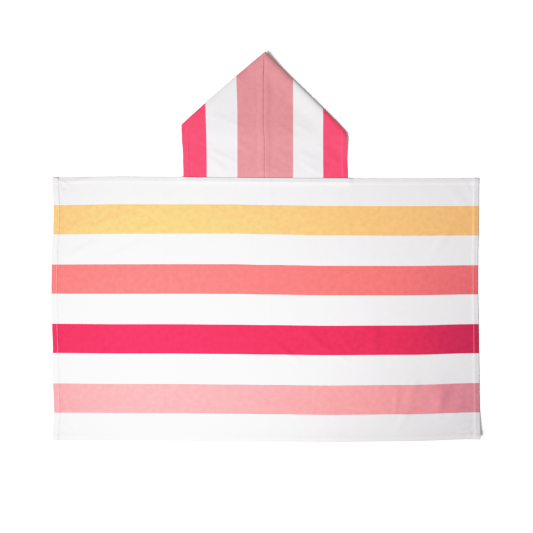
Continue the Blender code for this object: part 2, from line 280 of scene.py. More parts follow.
# How far the hood's face edges lie outside straight, in millimetres
faceBows = named(("up", "left", "right"), [
    (0.000, -3.0, -0.6),
    (0.060, -2.0, -2.6),
    (0.120, 1.2, -4.0),
    (0.150, 2.6, -3.6),
    (0.170, 3.2, -2.4),
    (0.382, 0.0, 0.0),
])
faceBowReach = 0.110

# Wrinkles: middle of the crest, size, turn from +X in degrees, height in millimetres
wrinkleColumns = ("across", "up", "length", "width", "turn", "height")
towelWrinkles = [dict(zip(wrinkleColumns, row)) for row in (
    (-0.560, -0.008, 0.150, 0.040, 27, 3.0),
    (-0.440, -0.020, 0.200, 0.044, 23, 2.7),
    (-0.490, 0.075, 0.150, 0.040, 31, 1.8),
    (-0.300, 0.145, 0.170, 0.044, 38, 1.5),
    (0.062, -0.319, 0.150, 0.032, -39, 1.9),
    (0.150, -0.278, 0.200, 0.040, -41, 2.0),
    (0.330, -0.278, 0.110, 0.052, 78, 3.2),
    (0.446, -0.441, 0.100, 0.044, 60, 3.6),
    (0.531, -0.462, 0.110, 0.060, 66, 6.6),
    (0.500, -0.430, 0.190, 0.052, 36, 3.4),
    (0.420, -0.520, 0.140, 0.040, 58, 2.6),
    (0.535, 0.022, 0.200, 0.048, 54, 2.8),
    (0.582, 0.155, 0.110, 0.038, -54, 0.8),
    # finer ones, that only the cloth itself shows
    (-0.604, 0.188, 0.040, 0.017, -28, 0.7),
    (-0.628, 0.184, 0.028, 0.012, 62, 0.8),
    (-0.619, 0.166, 0.032, 0.013, 72, 0.8),
    (-0.630, 0.150, 0.026, 0.012, 44, 0.6),
    (-0.633, 0.203, 0.026, 0.012, -30, 1.3),
    (-0.617, 0.197, 0.036, 0.013, -38, 1.3),
    (-0.622, 0.168, 0.040, 0.015, 48, 0.9),
    (-0.565, 0.200, 0.090, 0.018, 5, 1.2),
    (0.618, 0.180, 0.055, 0.018, -56, 0.6),
    (0.628, 0.200, 0.030, 0.013, -62, 0.8),
    (0.600, 0.150, 0.070, 0.020, -60, 0.5),
    (-0.585, 0.062, 0.100, 0.030, 50, 1.8),
    (-0.380, 0.050, 0.140, 0.034, 30, 1.6),
    (0.397, -0.466, 0.110, 0.028, 84, 1.8),
    (0.580, -0.495, 0.090, 0.030, 40, 2.0),
    (0.622, -0.540, 0.060, 0.018, 32, 1.3),
    (0.600, -0.560, 0.060, 0.018, 24, 1.2),
    (0.622, -0.572, 0.030, 0.013, 40, 1.1),
    (0.560, -0.520, 0.100, 0.024, 30, 1.1),
    (-0.600, -0.560, 0.060, 0.020, -40, 0.9),
    (-0.520, 0.130, 0.110, 0.024, 34, 0.9),
    (-0.400, 0.090, 0.120, 0.026, 27, 0.8),
    (-0.250, 0.060, 0.100, 0.026, 40, 0.6),
    (-0.190, 0.165, 0.080, 0.022, 36, 0.7),
    (0.090, -0.250, 0.090, 0.024, -30, 0.5),
    (0.244, -0.290, 0.070, 0.026, -48, 1.0),
    (0.400, -0.300, 0.070, 0.028, 70, 0.9),
    (0.450, -0.290, 0.080, 0.030, 62, 0.9),
    (0.260, -0.460, 0.080, 0.028, 66, 0.7),
    (0.230, -0.330, 0.100, 0.026, -38, 0.6),
    (0.440, -0.390, 0.110, 0.026, 48, 1.0),
    (0.340, -0.450, 0.120, 0.028, 72, 0.9),
    (0.480, -0.090, 0.110, 0.028, 60, 0.9),
    (0.300, 0.060, 0.110, 0.028, -64, 0.6),
)]
hoodWrinkles = [dict(zip(wrinkleColumns, row)) for row in (
    (-0.140, 0.280, 0.090, 0.034, -27, 1.0),
    (-0.146, 0.249, 0.095, 0.036, -36, 1.1),
    (-0.223, 0.258, 0.060, 0.028, -42, 1.1),
    (-0.060, 0.304, 0.100, 0.034, -36, 0.9),
    (0.046, 0.284, 0.090, 0.034, -33, 0.8),
    (0.128, 0.277, 0.096, 0.036, -30, 0.9),
    (0.136, 0.247, 0.100, 0.036, -37, 1.0),
    (0.212, 0.268, 0.068, 0.030, -44, 1.1),
    # finer ones
    (-0.150, 0.395, 0.100, 0.030, -14, 0.8),
    (-0.085, 0.372, 0.080, 0.026, -20, 0.7),
    (-0.190, 0.318, 0.080, 0.024, -22, 0.7),
    (-0.100, 0.262, 0.070, 0.022, -34, 0.6),
    (0.020, 0.240, 0.080, 0.024, -30, 0.6),
    (0.070, 0.350, 0.090, 0.028, -38, 0.8),
    (0.048, 0.470, 0.090, 0.026, -52, 0.7),
    (0.110, 0.365, 0.090, 0.026, -34, 0.7),
    (0.175, 0.300, 0.080, 0.024, -26, 0.7),
    (0.225, 0.312, 0.040, 0.018, -8, 0.7),
)]


# How the cloth lies

def weftBow(across, down):  # Y shift of the cloth at a distance below the top edge
    names = list(weftLines)
    down = np.clip(down, 0, towel["height"])
    shift = np.zeros_like(down)
    for above, below in zip(names, names[1:]):
        span = weftLines[below] - weftLines[above]
        share = (down - weftLines[above]) / span
        here = readTable(weftBows, above, across) * (1 - share)
        here += readTable(weftBows, below, across) * share
        shift = np.where((share >= 0) & (share <= 1), here, shift)
    return shift * mm


def sideBow(across, down):  # X shift, full at the short edges
    left = -readTable(sideBows, "left", down)
    right = readTable(sideBows, "right", down)
    weight = ease(1 - (halfWidth - abs(across)) / sideBowReach)
    return np.where(across < 0, left, right) * mm * weight


def fromCrest(row, across, up):  # along and beside a crest, in halves of its size
    turn = math.radians(row["turn"])
    east = across - row["across"]
    north = up - row["up"]
    along = 2 * (east * math.cos(turn) + north * math.sin(turn)) / row["length"]
    beside = 2 * (north * math.cos(turn) - east * math.sin(turn)) / row["width"]
    return along, beside


def wrinkleLift(wrinkles, across, up):
    stray = cloth["wander"] * softNoise(across, up, cloth["wanderSize"], seeds["wander"])
    lift = np.zeros_like(across)
    for row in wrinkles:
        strayed = up + stray * min(1, row["width"] / cloth["wanderFull"])
        along, beside = fromCrest(row, across, strayed)
        on = (abs(along) < 1) & (abs(beside) < 1)
        crest = (1 - along ** 2) ** 2 * 0.5 * (1 + np.cos(math.pi * beside))
        lift += np.where(on, row["height"] * mm * crest, 0)
    return lift


def unevenLift(across, up):  # the slight unevenness of cloth that lies flat
    broad = softNoise(across, up, cloth["broadSize"], seeds["broad"])
    small = softNoise(across, up, cloth["smallSize"], seeds["small"])
    return cloth["broadLift"] * (1 + broad) + cloth["smallLift"] * (1 + small)


def hemShare(distance):  # 1 on a hem, 0 past the step beside it
    return 1 - np.clip((distance - cloth["hem"]) / cloth["hemStep"], 0, 1)


def hemExtra(distance, fullness, fall):  # what the turned layers add beside an edge
    outer = 1 - np.clip((distance - cloth["turn"]) / cloth["hemStep"], 0, 1)
    turned = (cloth["hemExtra"] - cloth["turnDrop"] * outer) * hemShare(distance)
    return fullness * turned - fall * np.clip(1 - distance / cloth["turn"], 0, 1) ** 2


def edgeDraw(distance, thickness):  # how far each face draws in round a folded edge
    inward = 1 - np.clip(distance / cloth["edgeRound"], 0, 1)
    return cloth["edgeDraw"] * thickness * (1 - np.sqrt(1 - inward ** 2))


def stitchPull(distance):  # the thread pulls both faces in along its row
    return cloth["grooveDepth"] * bell(distance - cloth["stitchLine"], cloth["grooveReach"])


def hemPuckers(distance, along, height, seed):
    there = bell(distance - cloth["stitchLine"], cloth["puckerReach"])
    wave = softNoise(along, distance / cloth["puckerStretch"], cloth["puckerLength"], seed)
    swing = softNoise(along, 0 * along, cloth["puckerSwingSize"], seed + seeds["puckerSwing"])
    return height * there * (cloth["puckerBase"] + wave) * (1 + cloth["puckerSwing"] * swing)


# Making cloth: a flat grid is cut along its lines, gets a second face, and is laid down

def flatGrid(low, high, spacing):
    bm = bmesh.new()
    size = Vector(high) - Vector(low)
    bmesh.ops.create_grid(
        bm, x_segments=round(size.x / spacing), y_segments=round(size.y / spacing), size=0.5)
    bmesh.ops.scale(bm, vec=(size.x, size.y, 1), verts=bm.verts)
    middle = (Vector(low) + Vector(high)) / 2
    bmesh.ops.translate(bm, vec=(middle.x, middle.y, 0), verts=bm.verts)
    return bm


def cutLine(bm, point, normal, dropOutside=False):
    bmesh.ops.bisect_plane(
        bm, geom=bm.verts[:] + bm.edges[:] + bm.faces[:], dist=cloth["snap"],
        plane_co=(point[0], point[1], 0), plane_no=(normal[0], normal[1], 0),
        clear_outer=dropOutside)


def splitLong(bm, longest, where):  # halves the edges over a length in some places
    edges = []
    for edge in bm.edges:
        if edge.calc_length() > longest and where((edge.verts[0].co + edge.verts[1].co) / 2):
            edges.append(edge)
    bmesh.ops.subdivide_edges(bm, edges=edges, cuts=1, use_grid_fill=True)


def onWrinkle(wrinkles, across, up):
    for row in wrinkles:
        along, beside = fromCrest(row, across, up)
        reach = 1 + 2 * cloth["wrinkleMargin"] / row["width"]
        if abs(along) < 1 and abs(beside) < reach:
            return True
    return False


def atFold(distance):  # 1 on a folded edge, 0 a little inside it: where shade is painted
    return ease(1 - distance / cloth["foldedEdge"])


def layCloth(name, bm, lay, clothMap, marks, material, mirrored=False):
    bmesh.ops.triangulate(bm, faces=[face for face in bm.faces if len(face.verts) > 4])
    made = bmesh.ops.extrude_face_region(bm, geom=bm.faces)["geom"]
    raised = [item for item in made if isinstance(item, bmesh.types.BMVert)]
    bmesh.ops.translate(bm, vec=(0, 0, 1), verts=raised)
    bmesh.ops.recalc_face_normals(bm, faces=bm.faces)
    if mirrored:
        bmesh.ops.reverse_faces(bm, faces=bm.faces)
    mesh = toMesh(name, bm)
    flat = np.empty(len(mesh.vertices) * 3)
    mesh.vertices.foreach_get("co", flat)
    flat = flat.reshape(-1, 3)
    corner = np.empty(len(mesh.loops), int)
    mesh.loops.foreach_get("vertex_index", corner)
    uv = mesh.uv_layers.new(name="clothMap")
    uv.data.foreach_set("uv", clothMap(flat)[corner].astype(np.float32).ravel())
    for mark, at in marks.items():
        values = mesh.attributes.new(mark, "FLOAT", "POINT")
        values.data.foreach_set("value", at(flat).astype(np.float32))
    mesh.vertices.foreach_set("co", lay(flat).ravel())
    mesh.update()
    return addPiece(name, mesh, material)


# Materials

printSettings = {
    "white": (0.790, 0.769, 0.786),
    "back": (0.84, 0.83, 0.84),  # the unprinted inner face
    "showThrough": 0.10,
    "edgeSoftness": 0.7 * mm,
    "edgeWander": 1.2 * mm,
    "plainMottle": 0.08,  # how much the nap lightens and darkens the white
    "dusty": (0.93, 0.90, 0.97),  # tint where the nap leans away
    "paintedFarShade": (0.84, 0.83, 0.99),  # painted shade: a darker, bluer tone over the whole lower right of the towel's stripes, where the light falls off
    "farAcross": 1.13,  # from the left edge
    "farDown": 0.28,  # from the top edge
    "farSoftness": 0.15,
    "edgeShade": 0.22,  # painted shade along a folded edge, where it turns down away from the light
    "roughness": 0.92,
    "sheen": 0.25,
    "sheenRoughness": 0.45,
    "roughSwing": 0.10,
    "specular": 0.25,
    # scale, detail and roughness of the noises
    "edgeNoise": (160, 3.0, 0.7),
    "patchNoise": (62, 4.0, 0.6),
    "fleckNoise": (210, 2.0, 0.6),
    "pileNoise": (420, 2.0, 0.7),
    "fibreNoise": (1500, 3.0, 0.65),
    "shares": (0.50, 0.25, 0.25),  # of patches, flecks and pile in the mottling
    "leansAway": (0.45, 0.25),  # where in the patches it turns dusty, and how softly
    "loops": {"Scale": 780.0, "Randomness": 0.85},
    "loopHeight": 0.6,  # against the fibres
    "pileHeight": 1.5,
    "bump": (0.5, 0.25 * mm),  # strength and height
}
towelStripes = (  # distances below the top edge
    {"start": 0.0835, "end": 0.1736, "colour": (0.912, 0.497, 0.182), "mottle": 0.12},
    {"start": 0.2655, "end": 0.3556, "colour": (0.890, 0.168, 0.160), "mottle": 0.20},
    {"start": 0.4475, "end": 0.5376, "colour": (0.720, 0.020, 0.084), "mottle": 0.32},
    {"start": 0.6295, "end": 0.7196, "colour": (0.880, 0.315, 0.318), "mottle": 0.14},
)
hoodPink = (0.690, 0.272, 0.290)
hoodRed = (0.940, 0.067, 0.150)
hoodStripes = {  # distances out from the centre seam
    "hoodLeft": (
        {"start": -0.010, "end": 0.082, "colour": hoodPink, "mottle": 0.09},
        {"start": 0.176, "end": 0.270, "colour": hoodRed, "mottle": 0.16},
    ),
    "hoodRight": (
        {"start": -0.010, "end": 0.088, "colour": hoodPink, "mottle": 0.09},
        {"start": 0.180, "end": 0.270, "colour": hoodRed, "mottle": 0.16},
    ),
}


class Nodes:  # adds and joins a material's nodes
    def __init__(self, name):
        self.material = bpy.data.materials.new(name)
        self.material.use_nodes = True
        self.tree = self.material.node_tree
        self.shader = self.tree.nodes["Principled BSDF"]

    def add(self, kind, inputs=(), **settings):
        node = self.tree.nodes.new(kind)
        for key, value in settings.items():
            setattr(node, key, value)
        for key, value in dict(inputs).items():
            self.put(node.inputs[key], value)
        return node

    def put(self, socket, value):
        if isinstance(value, bpy.types.NodeSocket):
            self.tree.links.new(value, socket)
        else:
            socket.default_value = value

    def math(self, operation, first, second=0.0, third=0.0):
        node = self.add("ShaderNodeMath", {0: first, 1: second, 2: third}, operation=operation)
        return node.outputs[0]

    def step(self, value, at, softness):  # 0 before, 1 after
        node = self.add("ShaderNodeMapRange", {
            "Value": value, "From Min": at - softness, "From Max": at + softness},
            interpolation_type="SMOOTHSTEP")
        return node.outputs["Result"]

    def noise(self, place, scale, detail=2.0, roughness=0.5):
        node = self.add("ShaderNodeTexNoise", {
            "Vector": place, "Scale": scale, "Detail": detail, "Roughness": roughness})
        return node.outputs["Fac"]

    def mix(self, share, first, second):
        node = self.add("ShaderNodeMix", {0: share}, data_type="RGBA")
        for socket, value in ((node.inputs[6], first), (node.inputs[7], second)):
            colour = value if isinstance(value, bpy.types.NodeSocket) else (*value, 1.0)
            self.put(socket, colour)
        return node.outputs[2]

    def bump(self, height, strength, distance):
        node = self.add("ShaderNodeBump", {
            "Height": height, "Strength": strength, "Distance": distance})
        self.put(self.shader.inputs["Normal"], node.outputs["Normal"])

    def scaled(self, colour, by):
        node = self.add("ShaderNodeVectorMath", {0: colour, 1: by}, operation="MULTIPLY")
        return node.outputs[0]


def clothMaterial(name, stripes, axis, settings):
    nodes = Nodes(name)
    place = nodes.add("ShaderNodeUVMap", uv_map="clothMap").outputs["UV"]
    parts = nodes.add("ShaderNodeSeparateXYZ", {"Vector": place}).outputs
    # the print's edges stray a little, where the nap was brushed over them
    stray = nodes.noise(place, *settings["edgeNoise"])
    across = nodes.math("MULTIPLY_ADD", stray, settings["edgeWander"], parts[axis])
    across = nodes.math("SUBTRACT", across, settings["edgeWander"] / 2)
    plain = settings["plainMottle"]
    colour, dyed, mottle = None, 0.0, plain
    for stripe in stripes:
        starts = nodes.step(across, stripe["start"], settings["edgeSoftness"])
        ends = nodes.step(across, stripe["end"], settings["edgeSoftness"])
        inside = nodes.math("SUBTRACT", starts, ends)
        colour = nodes.mix(inside, colour or settings["white"], stripe["colour"])
        dyed = nodes.math("ADD", dyed, inside)
        mottle = nodes.math("MULTIPLY_ADD", inside, stripe["mottle"] - plain, mottle)
    # nap: soft patches where the pile leans another way, and the pile itself
    patches = nodes.noise(place, *settings["patchNoise"])
    flecks = nodes.noise(place, *settings["fleckNoise"])
    pile = nodes.noise(place, *settings["pileNoise"])
    ofPatches, ofFlecks, ofPile = settings["shares"]
    shade = nodes.math("MULTIPLY", patches, ofPatches)
    shade = nodes.math("MULTIPLY_ADD", flecks, ofFlecks, shade)
    shade = nodes.math("MULTIPLY_ADD", pile, ofPile, shade)
    shade = nodes.math("MULTIPLY_ADD", shade, 2.0, -1.0)
    shade = nodes.math("MULTIPLY_ADD", shade, mottle, 1.0)
    colour = nodes.scaled(colour, shade)
    away = nodes.math("SUBTRACT", 1.0, nodes.step(patches, *settings["leansAway"]))
    away = nodes.math("MULTIPLY", away, dyed)
    colour = nodes.mix(away, colour, nodes.scaled(colour, settings["dusty"]))
    # painted shade: the towel's stripes turn darker and bluer over its lower right, where the
    # light falls off
    far = nodes.step(parts[1], settings["farDown"], settings["farSoftness"])
    far = nodes.math(
        "MULTIPLY", far, nodes.step(parts[0], settings["farAcross"], settings["farSoftness"]))
    far = nodes.math("MULTIPLY", far, dyed)
    colour = nodes.mix(far, colour, nodes.scaled(colour, settings["paintedFarShade"]))
    # painted shade: the cloth darker along its folded edges, where the edge turns down into shadow
    folded = nodes.add("ShaderNodeAttribute", attribute_name="folded").outputs["Fac"]
    colour = nodes.scaled(colour, nodes.math("MULTIPLY_ADD", folded, -settings["edgeShade"], 1.0))
    # the inner face is plain, with the print just showing through
    side = nodes.add("ShaderNodeAttribute", attribute_name="printed").outputs["Fac"]
    back = nodes.mix(settings["showThrough"], settings["back"], colour)
    colour = nodes.mix(side, back, colour)
    nodes.put(nodes.shader.inputs["Base Color"], colour)
    # loops of the pile, brushed fibres over them
    loops = nodes.add("ShaderNodeTexVoronoi", {"Vector": place, **settings["loops"]})
    fibres = nodes.noise(place, *settings["fibreNoise"])
    loop = loops.outputs["Distance"]
    height = nodes.math("MULTIPLY_ADD", loop, settings["loopHeight"], fibres)
    height = nodes.math("MULTIPLY_ADD", pile, settings["pileHeight"], height)
    nodes.bump(height, *settings["bump"])
    swing = settings["roughSwing"]
    rough = nodes.math("MULTIPLY_ADD", pile, swing, settings["roughness"] - swing / 2)
    nodes.put(nodes.shader.inputs["Roughness"], rough)
    nodes.shader.inputs["Specular IOR Level"].default_value = settings["specular"]
    nodes.shader.inputs["Sheen Weight"].default_value = settings["sheen"]
    nodes.shader.inputs["Sheen Roughness"].default_value = settings["sheenRoughness"]
    return nodes.material


# The towel

def fromCorner(across, up):
    return np.hypot(halfWidth - across, up - bottomEdge)


def cornerLift(across, up):
    broad = np.clip(1 - fromCorner(across, up) / towel["cornerReach"], 0, 1) ** 2
    inward = np.clip(1 - (halfWidth - across) / towel["curlWidth"], 0, 1)
    upward = np.clip(1 - (up - bottomEdge) / towel["curlLength"], 0, 1)
    curl = inward ** towel["curlInward"] * upward ** towel["curlUpward"]
    return towel["cornerLift"] * broad + towel["curl"] * curl


def lapLift(across, down):  # the towel's top hem stands on the hood's neck edge
    left, right = hoodHalves
    width = np.where(across < hood["seam"], left["width"], right["width"])
    inside = width - abs(across - hood["seam"])
    overHem = 1 - np.clip((inside - cloth["hem"] - cloth["hemStep"]) / hood["flapRise"], 0, 1)
    height = cloth["thickness"] + cloth["gap"] + cloth["hemExtra"] * overHem
    beside = np.clip(1 + (inside + mm) / towel["lapRest"], 0, 1)
    below = ease(1 - (down - hood["neckLap"] - mm) / towel["lapRest"])
    return height * beside * below


def creaseLift(across, up):
    lift = np.zeros_like(across)
    for number, place in enumerate(towel["creasePlaces"]):
        stray = softNoise(up, up * 0, towel["creaseStraySize"], number + seeds["crease"])
        swing = softNoise(up, up * 0, towel["creaseSwingSize"], number + seeds["creaseSwing"])
        share = towel["creaseBase"] + towel["creaseSwing"] * swing
        beside = abs(across + towel["creaseStray"] * stray - place)
        crest = ease(1 - 2 * beside / towel["creaseWidth"])
        lift += towel["creaseHeight"] * np.clip(share, *towel["creaseShares"]) * crest
    return lift


def layTowel(flat):
    across, up, layer = flat.T
    down = towel["top"] - up
    sides = {
        "left": (halfWidth + across, up),
        "right": (halfWidth - across, up),
        "top": (down, across),
        "bottom": (up - bottomEdge, across),
    }
    toSide = np.minimum(sides["left"][0], sides["right"][0])
    toEnd = np.minimum(sides["top"][0], sides["bottom"][0])
    turned = [
        hemExtra(distance, towel["hemFullness"][side], towel["edgeFall"][side])
        for side, (distance, along) in sides.items()]
    thickness = cloth["thickness"] + np.max(turned, 0)
    thickness += cloth["cornerExtra"] * hemShare(toSide) * hemShare(toEnd)
    drawn = edgeDraw(np.minimum(toSide, toEnd), thickness)
    pull = np.zeros_like(across)
    puckers = np.zeros_like(across)
    for number, (side, (distance, along)) in enumerate(sides.items()):
        pull = np.maximum(pull, stitchPull(distance))
        seed = number + seeds["towelPucker"]
        puckers += hemPuckers(distance, along, towel["puckers"][side], seed)
    inside = ease(np.minimum(toSide, toEnd) / cloth["hem"])
    atNeck = np.abs(across - hood["seam"]) < towel["neckReach"]
    neckPull = towel["neckGroove"] * bell(down - towel["neckStitch"], cloth["grooveReach"])
    pull = np.maximum(pull, np.where(atNeck, neckPull, 0))
    lift = wrinkleLift(towelWrinkles, across, up)
    lift += cornerLift(across, up) + creaseLift(across, up) + lapLift(across, down)
    lift += unevenLift(across, up) * inside + np.maximum(puckers, 0)
    inner = drawn + cloth["innerPull"] * pull
    height = lift + np.where(layer > 0.5, thickness - drawn - pull, inner)
    x = across + sideBow(across, down)
    y = up + weftBow(across, down)
    return np.stack([x, y, height], 1)


def mapTowel(flat):  # metres right of the left edge, metres below the top edge
    return np.stack([flat[:, 0] + halfWidth, towel["top"] - flat[:, 1]], 1)


def toTowelEdge(flat):
    toEnd = np.minimum(towel["top"] - flat[:, 1], flat[:, 1] - bottomEdge)
    return np.minimum(halfWidth - abs(flat[:, 0]), toEnd)


towelMarks = {
    # the turned hems bring the print round to the back
    "printed": lambda flat: np.maximum(flat[:, 2] > 0.5, hemShare(toTowelEdge(flat))),
    "folded": lambda flat: atFold(toTowelEdge(flat)),
}


def hemLines():  # distances from a hemmed edge that need a line of points
    edge = [cloth["edgeRound"] * share for share in cloth["roundShares"]]
    turn = [cloth["turnLine"], cloth["turn"], cloth["turn"] + cloth["hemStep"]]
    row = [cloth["stitchLine"] + share * cloth["grooveReach"] for share in cloth["grooveShares"]]
    step = [cloth["hem"], cloth["hem"] + cloth["hemStep"], cloth["besideHem"]]
    return edge + turn + row + step


def makeTowel():
    bm = flatGrid((-halfWidth, bottomEdge), (halfWidth, towel["top"]), towel["grid"])
    inner = max(hemLines())

    def inHem(place):
        toSide = halfWidth - abs(place.x)
        nearest = min(toSide, towel["top"] - place.y, place.y - bottomEdge)
        return nearest < inner + towel["hemMargin"]

    def onShape(place):
        return onWrinkle(towelWrinkles, place.x, place.y)

    splitLong(bm, towel["fineGrid"], onShape)
    for distance in hemLines():
        cutLine(bm, (halfWidth - distance, 0), (1, 0))
        cutLine(bm, (distance - halfWidth, 0), (1, 0))
        cutLine(bm, (0, towel["top"] - distance), (0, 1))
        cutLine(bm, (0, bottomEdge + distance), (0, 1))
    splitLong(bm, towel["hemGrid"], inHem)
    material = clothMaterial("printedTowelCloth", towelStripes, 1, printSettings)
    piece = layCloth("towelBody", bm, layTowel, mapTowel, towelMarks, material)
    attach(piece, "root")
    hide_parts("body_panel")
    return piece


towelPiece = makeTowel()


# The hood: two halves seamed up the centre back, each folded under along its slanting edge.
# Flat places are given as (out from the seam, up from the towel's edge).

def foldOf(half):
    radius = hood["foldRadius"]
    bend = math.pi * (radius - cloth["thickness"] / 2)
    tip = Vector((half["tipOut"], hood["height"]))
    shoulder = Vector((half["width"], half["shoulder"]))
    line = (shoulder - tip).normalized()
    out = Vector((-line.y, line.x))
    start = tip - radius * out
    upward = Vector((0, 1))
    flapEdge = (2 * upward.dot(line) * line - upward).normalized()
    bendStart = start + line * (half["width"] - start.x) / line.x
    flapShoulder = bendStart + bend * out
    reach = flapShoulder.x / -flapEdge.x
    return {
        "bend": bend, "radius": radius, "start": start, "out": out, "line": line,
        "shoulder": shoulder, "flapShoulder": flapShoulder,
        "flapIn": Vector((flapEdge.y, -flapEdge.x)),
        "flapFoot": flapShoulder + reach * flapEdge,
        "crownCorner": bendStart + reach * upward,
        "crownTip": tip + (bend / 2 - radius) * out,
    }


def along(place, origin, direction):  # distance of many places from one, in a direction
    return (place - np.array(origin)) @ np.array(direction)


def bedHeight(half, fold, place):  # of the outer layer's underside, over the flap below it
    overFlap = along(place, fold["flapShoulder"], fold["flapIn"])
    onHem = 1 - np.clip((overFlap - cloth["hem"] - cloth["hemStep"]) / hood["flapRise"], 0, 1)
    height = cloth["thickness"] + cloth["gap"] + cloth["hemExtra"] * onHem
    return height * ease(1 + overFlap / hood["flapRest"])


def tipLift(across, up):
    away = np.hypot(across - hood["seam"], up - towel["top"] - hood["height"])
    return hood["tipLift"] * np.clip(1 - away / hood["tipReach"], 0, 1) ** 2


def allowanceShare(place):  # 1 over the pressed seam allowance, easing off beside it
    beside = ease(1 - (place[:, 0] - hood["allowance"]) / hood["allowanceRest"])
    atNeck = ease(place[:, 1] / hood["allowanceRise"])
    return beside * atNeck * ease((hood["height"] - place[:, 1]) / hood["allowanceFall"])


def layHalf(half, fold, flat):
    place = flat[:, :2]
    outside = flat[:, 2] > 0.5
    x, y = place.T
    side = half["side"]
    toFace = half["width"] - x
    thickness = cloth["thickness"] + hemExtra(toFace, hood["hemFullness"], hood["edgeFall"])
    past = along(place, fold["start"], fold["out"])
    run = along(place, fold["start"], fold["line"])
    onTop = past <= 0
    pull = stitchPull(toFace)
    drawn = edgeDraw(toFace, thickness)
    lowered = drawn + pull
    # each half rolls down into the centre seam
    seamRoll = (1 - np.clip(x / hood["seamRound"], 0, 1)) ** 2
    lowered = lowered + np.where(onTop, hood["seamDraw"] * thickness * seamRoll, 0)
    worldX = hood["seam"] + side * x
    worldY = towel["top"] + y
    free = ease(y / hood["neckEase"])
    height = bedHeight(half, fold, place)
    shared = np.mean([bedHeight(each, foldOf(each), place) for each in hoodHalves], 0)
    height = shared + (height - shared) * ease(x / hood["sharedReach"])
    height += (hood["allowanceCloth"] + 2 * cloth["gap"]) * allowanceShare(place)
    swing = softNoise(run, run * 0, hood["rollUnevenSize"], side)
    rollTop = 2 * fold["radius"] * (1 + hood["rollUneven"] * swing)
    height += (rollTop - thickness - height) * ease(1 + past / hood["rollReach"])
    height -= hood["flankDrop"] * np.clip(1 + past / hood["flank"], 0, 1) ** 2
    height += wrinkleLift(hoodWrinkles, worldX, worldY) * free
    ruffle = np.maximum(hemPuckers(toFace, y, hood["puckers"], side + seeds["hoodPucker"]), 0)
    wave = softNoise(y, x / cloth["puckerStretch"], hood["seamPuckerLength"], seeds["seamPucker"])
    seamRuffle = hood["seamPuckers"] * bell(x, hood["seamPuckerReach"]) * (1 + wave)
    settled = ease(-past / hood["foldSettle"])
    uneven = hood["unevenShare"] * unevenLift(worldX, worldY)
    height += (uneven + ruffle + seamRuffle) * free * settled
    height += np.where(outside, thickness - lowered, drawn)
    # round the roll
    turn = np.clip(past / fold["bend"], 0, 1) * math.pi
    radius = fold["radius"] - np.where(outside, drawn + pull, thickness - drawn)
    fullness = (rollTop - hood["flankDrop"]) / (2 * fold["radius"])
    slope = 2 * hood["flankDrop"] / hood["flank"]
    profile = np.cos(turn) - slope * np.sin(turn) * (1 - turn / math.pi)
    rolled = (fold["radius"] + radius * profile) * (1 + (fullness - 1) * (1 - turn / math.pi))
    height = np.where(onTop, height, rolled)
    shift = np.where(onTop, 0, radius * np.sin(turn) - past)
    # the flap comes back underneath
    flap = past >= fold["bend"]
    inner = drawn + cloth["innerPull"] * pull
    height = np.where(flap, np.where(outside, inner, thickness - drawn), height)
    shift = np.where(flap, fold["bend"] - 2 * past, shift)
    laid = place + shift[:, None] * np.array(fold["out"])
    # the fold isn't quite straight
    share = np.clip(run / (fold["shoulder"] - fold["start"]).length, 0, 1)
    near = ease(1 - abs(along(laid, fold["start"], fold["out"])) / hood["foldBowReach"])
    laid += (half["foldBow"] * np.sin(math.pi * share) * near)[:, None] * np.array(fold["out"])
    # the bulky corner where the hem goes through the fold is drawn in
    near = bell(np.linalg.norm(laid - np.array(fold["shoulder"]), axis=1), hood["softReach"])
    inward = (fold["flapFoot"] - fold["shoulder"]).normalized()
    laid = laid + half["softCorner"] * near[:, None] * np.array(inward)
    out, up = laid.T
    lateral = np.maximum(out, cloth["gap"] / 2)
    stray = readTable(seamBows, "right", up) * mm * ease(1 - lateral / seamBowReach)
    face = readTable(faceBows, "left" if side < 0 else "right", up) * mm
    stray += side * face * ease(1 - (half["width"] - lateral) / faceBowReach)
    worldX = hood["seam"] + side * lateral + stray
    bow = weftBow(hood["seam"] + side * lateral, 0 * up) * np.clip(1 - up / hood["height"], 0, 1)
    height = height + tipLift(worldX, towel["top"] + up)
    return np.stack([worldX, towel["top"] + up + bow, height], 1)


def makeHoodHalf(half):
    fold = foldOf(half)
    bm = flatGrid((0, -hood["neckLap"]), fold["crownCorner"], hood["grid"])
    crown = (fold["crownCorner"] - fold["crownTip"]).normalized()
    cutLine(bm, fold["crownTip"], (-crown.y, crown.x), dropOutside=True)
    for distance in hemLines():
        cutLine(bm, (half["width"] - distance, 0), (1, 0))
    for share in hood["seamShares"]:
        cutLine(bm, (share * hood["seamRound"], 0), (1, 0))
    for step in range(hood["bendSteps"] + 1):
        past = fold["bend"] * step / hood["bendSteps"]
        cutLine(bm, fold["start"] + past * fold["out"], fold["out"])

    def lay(flat):
        return layHalf(half, fold, flat)

    def outFromSeam(flat):
        return flat[:, :2]

    marks = {  # the turned hem brings the print round to the inner face
        "printed": lambda flat: np.maximum(flat[:, 2] > 0.5, hemShare(half["width"] - flat[:, 0])),
        "folded": lambda flat: atFold(half["width"] - flat[:, 0]),
    }
    stripes = hoodStripes[half["name"]]
    material = clothMaterial(half["name"] + "Cloth", stripes, 0, printSettings)
    piece = layCloth(half["name"], bm, lay, outFromSeam, marks, material, half["side"] < 0)
    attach(piece, "root")
    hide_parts(half["node"])
    return piece


